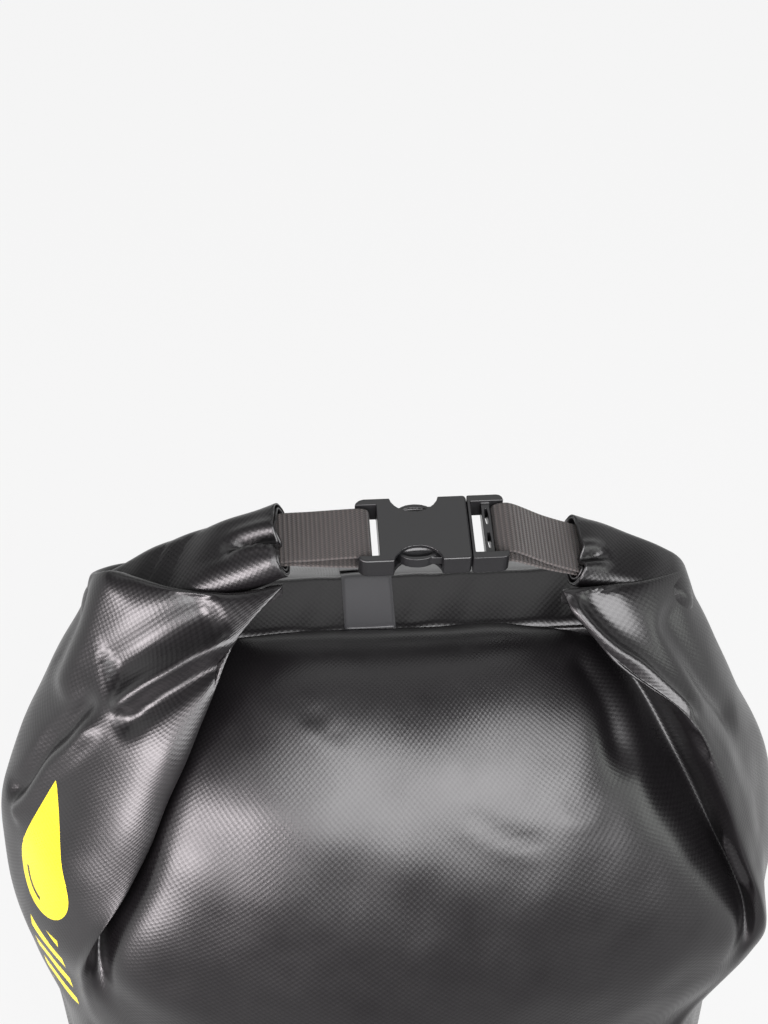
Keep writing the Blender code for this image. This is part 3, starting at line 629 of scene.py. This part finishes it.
def roll_point(q, turns, lift=0.0):
    """A point of the rolled sheet: it starts under the front edge and winds inwards."""
    inset = 0.0013 * turns - lift
    share = turns + 0.70
    w, n = stadium_point(share, ROLL_WIDTH / 2 - inset, ROLL_THICK / 2 - inset)
    slack = 0.0006 * math.sin(q * 88 + turns * 3.1) + 0.0004 * math.sin(q * 203 + turns * 7.7)
    arm = ease((abs(q) - LOOP_STRAIGHT) / 0.02)
    squeeze = 1 - SQUEEZE * math.exp(-((abs(q) - 0.132) / 0.024) ** 2)
    dome = DOME * (1 - (w / (ROLL_WIDTH / 2)) ** 2) * arm
    return loop_point(q, w * squeeze * (1 + slack * 20) - 0.004 * (1 - squeeze) / SQUEEZE,
                      n + math.copysign(slack + dome, n))


LEFT_HOLLOW = [(-45, -22, 483), (-52, -19, 481), (-60, -17, 478), (-70, -16, 473)]
LEFT_LOBE = [(-45, -29, 480), (-54, -27, 479), (-66, -25, 475), (-84, -22, 467)]
RIGHT_HOLLOW = [(78, -24, 472), (86, -20, 470), (94, -16, 467)]
ARM_CREASES = [
    (LEFT_HOLLOW, [(0.0, 2.8, -5.0), (-5.5, 2.2, 2.2), (6.0, 2.5, 1.0)], 1.0, 12.0),
    (LEFT_LOBE, [(0.0, 3.5, 1.2)], 1.0, 16.0),
    (RIGHT_HOLLOW, [(0.0, 2.6, -3.6), (5.0, 2.2, 1.6), (-5.0, 2.4, 1.4)], 1.0, 9.0),
]


def make_roll():
    left = np.linspace(-LEFT_END, -LOOP_STRAIGHT, 110)
    straight = np.linspace(-LOOP_STRAIGHT, LOOP_STRAIGHT, 90)[1:-1]
    right = np.linspace(LOOP_STRAIGHT, RIGHT_END, 80)
    stations = np.concatenate([left, straight, right])
    turns = np.linspace(0, 2.2, 150)
    grid = np.array([[roll_point(q, t) for t in turns] for q in stations])
    for path, bumps, fade_in, fade_out in ARM_CREASES:
        press(grid, surface_normals(grid, False), path, bumps, fade_in, fade_out)
    return sheet_object("roll", grid, False, FABRIC, 0.0008)


def make_roll_tape():
    """The welded tape where the back seam passes over the roll."""
    middle = (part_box("roll_seam_tape")[0][0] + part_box("roll_seam_tape")[1][0]) / 2
    stations = np.linspace(middle - SEAM_HALF_WIDTH, middle + SEAM_HALF_WIDTH, 12)
    turns = np.linspace(0.03, 0.97, 90)
    grid = np.array([[roll_point(q, t, 0.0007) for t in turns] for q in stations])
    return sheet_object("roll_tape", grid, False, TAPE, 0.0005)


def make_stiffener(name, inward):
    stations = np.linspace(0.014 - LEFT_END, RIGHT_END - 0.014, 120)
    lanes = np.linspace(-0.0085, 0.0085, 7)
    grid = np.array([[loop_point(q, w - 0.002, inward) for w in lanes] for q in stations])
    return sheet_object(name, grid, False, PLASTIC, 0.0007)


# ---------------------------------------------------------------- webbing
def webbing_path(side):
    """The doubled strap in the loop's (across, up) plane."""
    run = LEFT_END if side < 0 else RIGHT_END
    bar = 0.0040 if side < 0 else 0.0031
    edge = BUCKLE_X + side * BUCKLE_LENGTH / 2
    inner = edge - side * (bar - 0.0016)
    radius = 0.0016 * 1.414 + 0.0003 + 0.0007

    def layer(reach, inward):
        (x, up), (nx, nu) = loop_frame(side * (run - reach))
        return x + nx * inward, up + nu * inward

    end = loop_frame(side * run)[0]
    middle = end[0] * 0.6 + edge * 0.4, end[1] * 0.6 + BUCKLE_RISE * 0.4
    upper = [layer(reach, -0.0012) for reach in (0.016, 0.011, 0.006, 0.001)]
    upper += [(middle[0], middle[1] + 0.0018), (edge + side * 0.002, BUCKLE_RISE + radius)]
    turns = [math.pi * k / 6 for k in range(7)]
    wrap = [(inner - side * radius * math.sin(t), BUCKLE_RISE + radius * math.cos(t)) for t in turns]
    lower = [(edge + side * 0.002, BUCKLE_RISE - radius), (middle[0], middle[1] - 0.0022)]
    lower += [layer(reach, 0.0010) for reach in (0.001, 0.006, 0.011, 0.016)]
    return spline(np.array(upper + wrap + lower), 14)


def make_strap(name, side):
    path = webbing_path(side)
    width = 0.0252
    lanes = 29
    rows = []
    for point in path:
        middle = Vector(loop_place(point))
        rows.append([middle + LOOP_BACK * (width * (k / (lanes - 1) - 0.5)) for k in range(lanes)])
    obj = sheet_object(name, np.array(rows), False, WEBBING, 0.0012)
    bevel = obj.modifiers.new("rounded edges", "BEVEL")
    bevel.width = 0.0003
    bevel.segments = 2
    bevel.limit_method = "ANGLE"
    bevel.angle_limit = math.radians(50)
    return obj


cloth = make_cloth()
roll = make_roll()
roll_tape = make_roll_tape()
strap_left = make_strap("strap_left", -1)
strap_right = make_strap("strap_right", 1)
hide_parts("bag_wall", "neck_fold")
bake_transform(cloth)
base_band = make_base_band()
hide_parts("base_weld_band")
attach(base_band, "root")
back_tape = make_back_tape()
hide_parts("back_seam_tape")
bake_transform(back_tape)
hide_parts("rolled_collar")
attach(roll, "carry_loop")
for name, inward in (("front_stiffener", -0.0016), ("rear_stiffener", 0.0016)):
    strip = make_stiffener(name + "_strip", inward)
    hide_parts(name)
    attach(strip, "carry_loop")
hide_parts("roll_seam_tape")
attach(roll_tape, "carry_loop")
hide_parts("webbing_left")
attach(strap_left, "carry_loop")
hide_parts("webbing_right")
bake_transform(strap_right)


def dress(name, mat):
    obj = frame["nodes"][name]
    for slot in obj.material_slots:
        slot.material = mat
    if not obj.material_slots:
        obj.data.materials.append(mat)


def soften(name):
    """Round the moulded edges of a CAD part."""
    obj = frame["nodes"][name]
    remesh = obj.modifiers.new("moulded", "REMESH")
    remesh.mode = "VOXEL"
    remesh.voxel_size = 0.00022
    remesh.use_smooth_shade = True
    smooth = obj.modifiers.new("soft edges", "SMOOTH")
    smooth.factor = 0.5
    smooth.iterations = 6


dress("base_panel", FABRIC)
for name in ("buckle_female", "buckle_male_frame", "prong_front", "prong_rear"):
    dress(name, PLASTIC)
    soften(name)
for name in ("tack_left", "tack_right"):
    dress(name, THREAD)


# ---------------------------------------------------------------- floor, light, render
FLOOR_RADIUS = 2.6
SWEEP = 1.4                  # radius of the curve from the floor up to the wall
PAINTED_SHADOW_SPOT = (0.05, -0.72, 0) # painted shadow: the floor's glow is dimmest here, in front of the bag


def floor():
    """A pale round sweep that glows: flat floor, curved up into a wall; its glow is dimmed on the floor in
    front of the bag, a painted shadow.
    """
    mat, nodes, links, shader = new_material("floor")
    shader.inputs["Base Color"].default_value = (0.05, 0.05, 0.05, 1)
    shader.inputs["Roughness"].default_value = 0.95
    shader.inputs["Specular IOR Level"].default_value = 0.1
    shader.inputs["Emission Color"].default_value = (1, 1, 1, 1)
    coord = nodes.new("ShaderNodeTexCoord")
    away = nodes.new("ShaderNodeVectorMath")
    away.operation = "DISTANCE"
    away.inputs[1].default_value = PAINTED_SHADOW_SPOT
    links.new(coord.outputs["Object"], away.inputs[0])
    split = nodes.new("ShaderNodeSeparateXYZ")
    links.new(coord.outputs["Object"], split.inputs[0])
    # painted shadow: the glow is dimmed around the spot in front of the bag and towards the front
    near = map_range(nodes, links, away.outputs["Value"], 0.25, 0.88, 0.24, 1.0, "SMOOTHSTEP")
    front = map_range(nodes, links, split.outputs[1], -1.5, 0.3, 0.42, 0.87, "SMOOTHSTEP")
    links.new(math_node(nodes, links, "MULTIPLY", near, front), shader.inputs["Emission Strength"])
    arcs = [math.radians(a) for a in range(10, 91, 10)]
    profile = [(0.02, 0), (FLOOR_RADIUS, 0)]
    profile += [(FLOOR_RADIUS + SWEEP * math.sin(a), SWEEP - SWEEP * math.cos(a)) for a in arcs]
    profile += [(FLOOR_RADIUS + SWEEP, 2.6)]
    turns = [2 * math.pi * k / 64 for k in range(64)]

    def ring(radius, z):
        return [(radius * math.cos(t), radius * math.sin(t), z) for t in turns]

    grid_object("floor", np.array([ring(r, z) for r, z in profile]), True, mat)
    grid_object("floor_middle", np.array([ring(r, 0) for r in (0.000021, 0.021)]), True, mat)


def area_light(name, place, aim, size, radiance, color):
    data = bpy.data.lights.new(name, "AREA")
    data.shape = "RECTANGLE"
    data.size, data.size_y = size
    data.energy = radiance * math.pi * size[0] * size[1]
    data.color = color
    obj = link(bpy.data.objects.new(name, data))
    obj.location = place
    obj.rotation_euler = (Vector(aim) - Vector(place)).to_track_quat("-Z", "Y").to_euler()


def studio():
    world = bpy.data.worlds.new("studio")
    bpy.context.scene.world = world
    world.use_nodes = True
    sky = world.node_tree.nodes["Background"]
    sky.inputs["Color"].default_value = (1, 1, 1, 1)
    sky.inputs["Strength"].default_value = 0.14
    area_light("key", (0.34, -1.35, 0.88), (0.04, 0, 0.42), (1.65, 1.42), 10.2, (1.0, 0.985, 1.0))
    area_light("left", (-1.02, -1.10, 0.33), (0, 0, 0.34), (0.95, 0.66), 21.0, (1.0, 0.925, 0.955))
    area_light("right", (1.38, -0.45, 0.45), (0, 0, 0.36), (0.45, 0.70), 3.0, (0.96, 1.0, 0.95))
    area_light("top", (0, 0.35, 1.75), (0, 0.1, 0.30), (1.5, 1.3), 1.1, (1, 1, 1))
    bpy.context.scene.view_settings.view_transform = "Standard"


floor()
studio()
